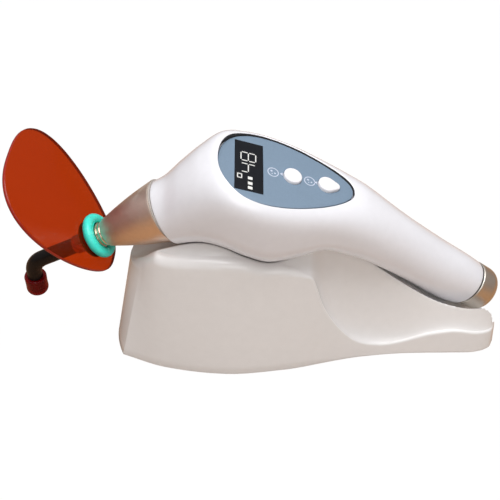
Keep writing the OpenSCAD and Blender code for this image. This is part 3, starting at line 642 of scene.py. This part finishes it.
def bar(x, y, long_x, long_y):
    """A lit bar on the display glass; x along the window's length, y across the panel."""
    quarters = ((-1, -1), (1, -1), (1, 1), (-1, 1))
    corners = [(x + i * long_x / 2, y + j * long_y / 2, 0.15) for i, j in quarters]
    place = on_panel @ moved(DISPLAY_X, 0, 0)
    marks.append(plate("m", rounded(corners, 3), [(0, 0.4), (0, 0.5)], place, rings=1))


def digit(lit, left, wide, low, tall):
    """One digit read from the tail: its up is -x and its right is +y."""
    for key in lit:
        across, up, upright = BARS[key]
        x, y = low - up * tall / 2, left + across * wide
        if upright:
            bar(x, y, tall / 2 - 0.8, 0.5)
        else:
            bar(x, y, 0.5, wide - 0.8)


digit("abcdefg", 3.0, 5.2, 3.2, 7.2)
digit("bcfg", -4.2, 5.2, 3.2, 7.2)
box_sides = ((-4.6, -6.2, 2.4, 0.5), (-4.6, -8.6, 2.4, 0.5), (-5.6, -7.4, 0.5, 2.4), (-3.6, -7.4, 0.5, 2.4))
for side in box_sides:
    bar(*side)
for y in (-7.6, -10.8, -13.6):
    bar(0.5, y, 2.2, 1.7)
piece(joined("display_digits", marks), "handpiece", "display_core", finish="digits")

prints = []
for x in (-6.8, 11.4):
    place = on_panel @ moved(x, 0, 0.3)
    prints.append(lathe("m", [(2.35, -0.1), (2.8, -0.1), (2.8, 0.08), (2.35, 0.08)], place, 64))
    for dx, dy, r in ((-0.8, 0.7, 0.55), (0.9, -0.5, 0.45), (-0.5, -0.9, 0.3)):
        prints.append(lathe("m", [(0, -0.1), (r, -0.1), (r, 0.07), (0, 0.07)], place @ moved(dx, dy, 0), 24))
for x in (MODE_X - 4.9, POWER_X - 4.8):
    nub = np.array([(-1.6, 0), (0, -1.0), (0, 1.0)])
    prints.append(plate("m", rounded([(*p, 0.3) for p in nub], 4), [(0, 0.0), (0, 0.45), (0.25, 0.6)],
                        on_panel @ moved(x, 0, 0.1), rings=1))
piece(joined("panel_marks", prints), "handpiece", "panel", finish="print")

# ---------------------------------------------------------------- cradle
spin_sin, spin_cos = math.sin(math.radians(roll)), math.cos(math.radians(roll))
dock_shift, dock_height = docked.translation.y, docked.translation.z


def underside(x, y):
    """Height of the docked handpiece's underside over the cradle, with the docking gap."""
    xs = np.maximum(-80, x)
    ahead = np.minimum(0, x + 80) * math.tan(math.radians(nose_dip))
    cone = np.maximum(1, NOSE_TIP_R + (np.minimum(x, -60) - nose_point.x) * (NOSE_SEAM_R - NOSE_TIP_R)
                      / (NOSE_LENGTH * math.cos(math.radians(nose_dip))))
    low, rim = through(SLICES, xs, 1) + ahead, through(SLICES, xs, 2) + ahead
    mid = (low + rim) / 2
    a = np.maximum(through(SLICES, xs, 3), cone) + DOCK_GAP
    b = mid - low + DOCK_GAP * 1.3
    dy = y - (dock_shift - mid * spin_sin)
    aa = (spin_sin / a) ** 2 + (spin_cos / b) ** 2
    bb = dy * spin_sin * spin_cos * (1 / a ** 2 - 1 / b ** 2)
    cc = dy ** 2 * ((spin_cos / a) ** 2 + (spin_sin / b) ** 2) - 1
    root = bb ** 2 - aa * cc
    z = dock_height + mid * spin_cos - (bb + np.sqrt(np.maximum(root, 0))) / aa
    return np.where(root > 0, z, 1000.0)


def top_half(x):
    return through(OUTLINE, x, 1) - DRAFT * through(OUTLINE, x, 2) / DRAFT_HEIGHT


def cradle_top(x, y):
    """Crest falling to the side lips, cut by the rest, with the crease between them softened."""
    lip, s = through(OUTLINE, x, 2), np.minimum(1, np.abs(y) / top_half(x))
    rise = CREST_RISE + np.minimum(CREST_GAIN, np.maximum(0, x))
    fuller = np.clip((x - 30) / 25, 0, 1)
    shape = CREST_SHAPE - WEB_FULLNESS * fuller * fuller * (3 - 2 * fuller)
    crest, rest = lip + rise * (1 - s ** 2) ** shape, underside(x, y)
    soft = 0.55
    gap = np.clip(np.abs(crest - rest) / soft, 0, 40)
    return np.minimum(crest, rest) - soft * np.log1p(np.exp(-gap))


def front_shift(x, across, height):
    front = np.maximum(0, x / OUTLINE[0, 0]) ** 6
    return front * (END_LEAN * height / DRAFT_HEIGHT - END_BULGE * (1 - across ** 2))


ROWS, COLS = 230, 110
EDGE = 1.3
SHOULDER = 5.5
u = np.linspace(0, 1, ROWS + 1)[:, None]
across = np.sin(np.linspace(-math.pi / 2, math.pi / 2, COLS + 1))[None, :]
start, end = OUTLINE[0, 0], OUTLINE[-1, 0]


def edge_radius(x):
    """Radius of the lip: a broad shoulder in front, a finer lip round the finger well."""
    share = np.clip((6 - x) / 22, 0, 1)
    return EDGE + (SHOULDER - EDGE) * share * share * (3 - 2 * share)


def shelf(margin, height=None, lip=0.0):
    """Grid of the cradle's plan drawn in by a margin, at the top or at a set height.

    lip draws the sides in further by that share of the lip's radius.
    """
    x = start + margin + (end - start - 2 * margin) * u
    base_x = np.clip(x, start, end)
    if height is None:
        half = top_half(base_x) - np.maximum(margin, lip * edge_radius(base_x))
        y = half * across
        look = x + front_shift(x, across, DRAFT_HEIGHT * 0.9)
        z = cradle_top(np.clip(look, start, end), y)
        return np.stack(np.broadcast_arrays(x + front_shift(x, across, z), y, z), -1)
    y = (through(OUTLINE, base_x, 1) - margin) * across
    return np.stack(np.broadcast_arrays(x + front_shift(x, across, height), y, 0 * y + height), -1)


def rim_of(grid):
    return np.concatenate([grid[:, 0], grid[-1, 1:], grid[-2::-1, -1], grid[0, -2:0:-1]])


inner_top, full_top = shelf(EDGE, lip=1.0), shelf(0.0)
foot, foot_in = rim_of(shelf(0.0, BASE_FOOT)), rim_of(shelf(2.5, BASE_FOOT))
rim_in, rim_out = rim_of(inner_top), rim_of(full_top)
drop_in = np.hypot(*(rim_out - rim_in)[:, :2].T)
loops = []
for turn in np.linspace(0, 90, 8)[1:]:
    t = math.radians(turn)
    loop = rim_in + (rim_out - rim_in) * math.sin(t)
    loop[:, 2] = rim_in[:, 2] - drop_in * (1 - math.cos(t))
    loops.append(loop)
wall_top = loops[-1]
for share in np.linspace(0, 1, 14)[1:-1]:
    loops.append(wall_top + (foot + np.array((0, 0, 0.6)) - wall_top) * share)
loops += [foot + np.array((0, 0, 0.6)), foot + (foot_in - foot) * 0.05 + np.array((0, 0, 0.18)),
          foot + (foot_in - foot) * 0.2, foot_in, foot_in + np.array((0, 0, 2.7))]
index = np.arange((ROWS + 1) * (COLS + 1)).reshape(ROWS + 1, COLS + 1)
rim_index = rim_of(index[..., None])[:, 0].tolist()
count, grid_size = len(rim_index), index.size
points = np.concatenate([inner_top.reshape(-1, 3)] + loops)
faces = grid_faces(ROWS + 1, COLS + 1, wrap=False)
for k in range(count):
    following = (k + 1) % count
    faces.append([rim_index[k], rim_index[following], grid_size + following, grid_size + k])
faces += grid_faces(len(loops), count, start=grid_size)
faces.append([grid_size + (len(loops) - 1) * count + k for k in range(count)])
shell = make("cradle_shell", points, faces, angle=40)

pins_low, pins_high = (np.array(c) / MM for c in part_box("charge_pins"))
block_low, block_high = (np.array(c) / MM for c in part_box("pin_block"))
jack_low, jack_high = (np.array(c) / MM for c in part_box("dc_jack"))
bay, block_top = 3.45, 51.1
pin_x, pin_ys = (pins_low[0] + pins_high[0]) / 2, (pins_low[1] + 2, pins_high[1] - 2)
jack_x, jack_z = (jack_low[0] + jack_high[0]) / 2, 13.0
carve(shell, block("b", (-70, -19, bay - 1), (-6, 19, bay + 33)), 40)
low, high = (*(block_low[:2] - 0.4), bay - 1), (*(block_high[:2] + 0.4), block_top)
carve(shell, block("b", low, high), 40)
carve(shell, block("b", (-60, 0, bay - 1), (-42, jack_high[1] - 3.9, 21)), 40)
for y in pin_ys:
    carve(shell, lathe("b", [(0, 30), (1.4, 30), (1.4, 70), (0, 70)], moved(pin_x, y, 0), 32), 40)
carve(shell, lathe("b", [(0, 0), (4.6, 0), (4.6, 12), (0, 12)],
                   moved(jack_x, jack_high[1] - 5, jack_z) @ turned(-90, "X"), 48), 40)
piece(shell, "cradle", "cradle", "base_shell")

# ---------------------------------------------------------------- charging pin springs
COIL_R, WIRE_R, TURNS, COIL_STEPS, WIRE_SIDES = 1.5, 0.3, 5, 28, 12
spring_low, spring_high = (np.array(c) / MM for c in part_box("pin_springs"))
around = np.linspace(0, 2 * math.pi * TURNS, COIL_STEPS * TURNS + 1)[:, None]
wire_turn = np.linspace(0, 2 * math.pi, WIRE_SIDES, endpoint=False)[None, :]
wire_r = COIL_R + WIRE_R * np.cos(wire_turn)
climb = (spring_high[2] - spring_low[2] - 2 * WIRE_R) * around / around[-1]
heights = climb + WIRE_R * (1 + np.sin(wire_turn))
points = np.stack([wire_r * np.cos(around), wire_r * np.sin(around), heights], -1)
last = len(around) * WIRE_SIDES
ends = [list(range(WIRE_SIDES))[::-1], list(range(last - WIRE_SIDES, last))]
faces = grid_faces(len(around), WIRE_SIDES) + ends
coils = joined("pin_spring_coils", [
    make("c", points.reshape(-1, 3), faces, moved(pin_x, y, spring_low[2])) for y in pin_ys])
piece(coils, "cradle", "steel", "pin_springs")
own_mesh(coils)

# ---------------------------------------------------------------- studio
def area(name, size, place, aim, energy, colour):
    light = bpy.data.lights.new(name, "AREA")
    light.shape, light.size, light.size_y = "RECTANGLE", size[0], size[1]
    light.energy, light.color = energy, colour
    obj = bpy.data.objects.new(name, light)
    bpy.context.scene.collection.objects.link(obj)
    obj.location = place
    obj.rotation_euler = (Vector(aim) - Vector(place)).to_track_quat("-Z", "Y").to_euler()


area("overhead", (0.7, 0.5), (0.05, -0.1, 0.75), (0, 0, 0.05), 4.9, (0.99, 0.99, 1.0))
area("front", (0.4, 0.3), (0.1, -0.6, 0.42), (0.02, 0, 0.04), 0.7, (1.0, 0.97, 0.94))

floor_mesh = bpy.data.meshes.new("floor")
floor_mesh.from_pydata([(-4, -4, 0), (4, -4, 0), (4, 4, 0), (-4, 4, 0)], [], [(0, 1, 2, 3)])
floor = bpy.data.objects.new("floor", floor_mesh)
bpy.context.scene.collection.objects.link(floor)
pale = surface("floor", (0.54, 0.48, 0.43), 0.55, mottle=0.01, size=60, relief=0.01)
tree = pale.node_tree
glow, seen = tree.nodes.new("ShaderNodeEmission"), tree.nodes.new("ShaderNodeLightPath")
glow.inputs["Color"].default_value = (1, 1, 1, 1)
glow.inputs["Strength"].default_value = 1.04
weight, blend = tree.nodes.new("ShaderNodeMath"), tree.nodes.new("ShaderNodeMixShader")
weight.operation = "MULTIPLY"
weight.inputs[1].default_value = 0.95
tree.links.new(seen.outputs["Is Camera Ray"], weight.inputs[0])
tree.links.new(weight.outputs[0], blend.inputs["Fac"])
tree.links.new(tree.nodes["Principled BSDF"].outputs[0], blend.inputs[1])
tree.links.new(glow.outputs[0], blend.inputs[2])
tree.links.new(blend.outputs[0], tree.nodes["Material Output"].inputs["Surface"])
floor_mesh.materials.append(pale)

# Polished parts mirror a warmer floor than the one that lights the white mouldings.
mirrored, choose = tree.nodes.new("ShaderNodeBsdfDiffuse"), tree.nodes.new("ShaderNodeMixShader")
mirrored.inputs["Color"].default_value = (0.48, 0.27, 0.14, 1)
tree.links.new(seen.outputs["Is Glossy Ray"], choose.inputs["Fac"])
tree.links.new(blend.outputs[0], choose.inputs[1])
tree.links.new(mirrored.outputs[0], choose.inputs[2])
tree.links.new(choose.outputs[0], tree.nodes["Material Output"].inputs["Surface"])

world = bpy.data.worlds.new("studio")
bpy.context.scene.world = world
world.use_nodes = True
tree = world.node_tree
coords, split_xyz, ramp = (tree.nodes.new("ShaderNode" + k) for k in ("TexCoord", "SeparateXYZ", "ValToRGB"))
tree.links.new(coords.outputs["Generated"], split_xyz.inputs[0])
tree.links.new(split_xyz.outputs["Z"], ramp.inputs["Fac"])
ramp.color_ramp.elements[0].color = (0.50, 0.40, 0.34, 1)
ramp.color_ramp.elements[1].color = (1.0, 1.0, 1.0, 1)
ramp.color_ramp.elements[1].position = 0.6
tree.links.new(ramp.outputs["Color"], tree.nodes["Background"].inputs["Color"])
tree.nodes["Background"].inputs["Strength"].default_value = 0.5

TARGET, DISTANCE, ELEVATION = Vector((-27, 0, 54)) * MM, 0.55, math.radians(38)
camera = bpy.data.objects.new("camera", bpy.data.cameras.new("camera"))
bpy.context.scene.collection.objects.link(camera)
camera.location = TARGET + DISTANCE * Vector((0, -math.cos(ELEVATION), math.sin(ELEVATION)))
camera.rotation_euler = (math.pi / 2 - ELEVATION, 0, 0)
camera.data.lens, camera.data.sensor_width = 79.2, 36
bpy.context.scene.camera = camera
bpy.context.scene.view_settings.view_transform = "Standard"
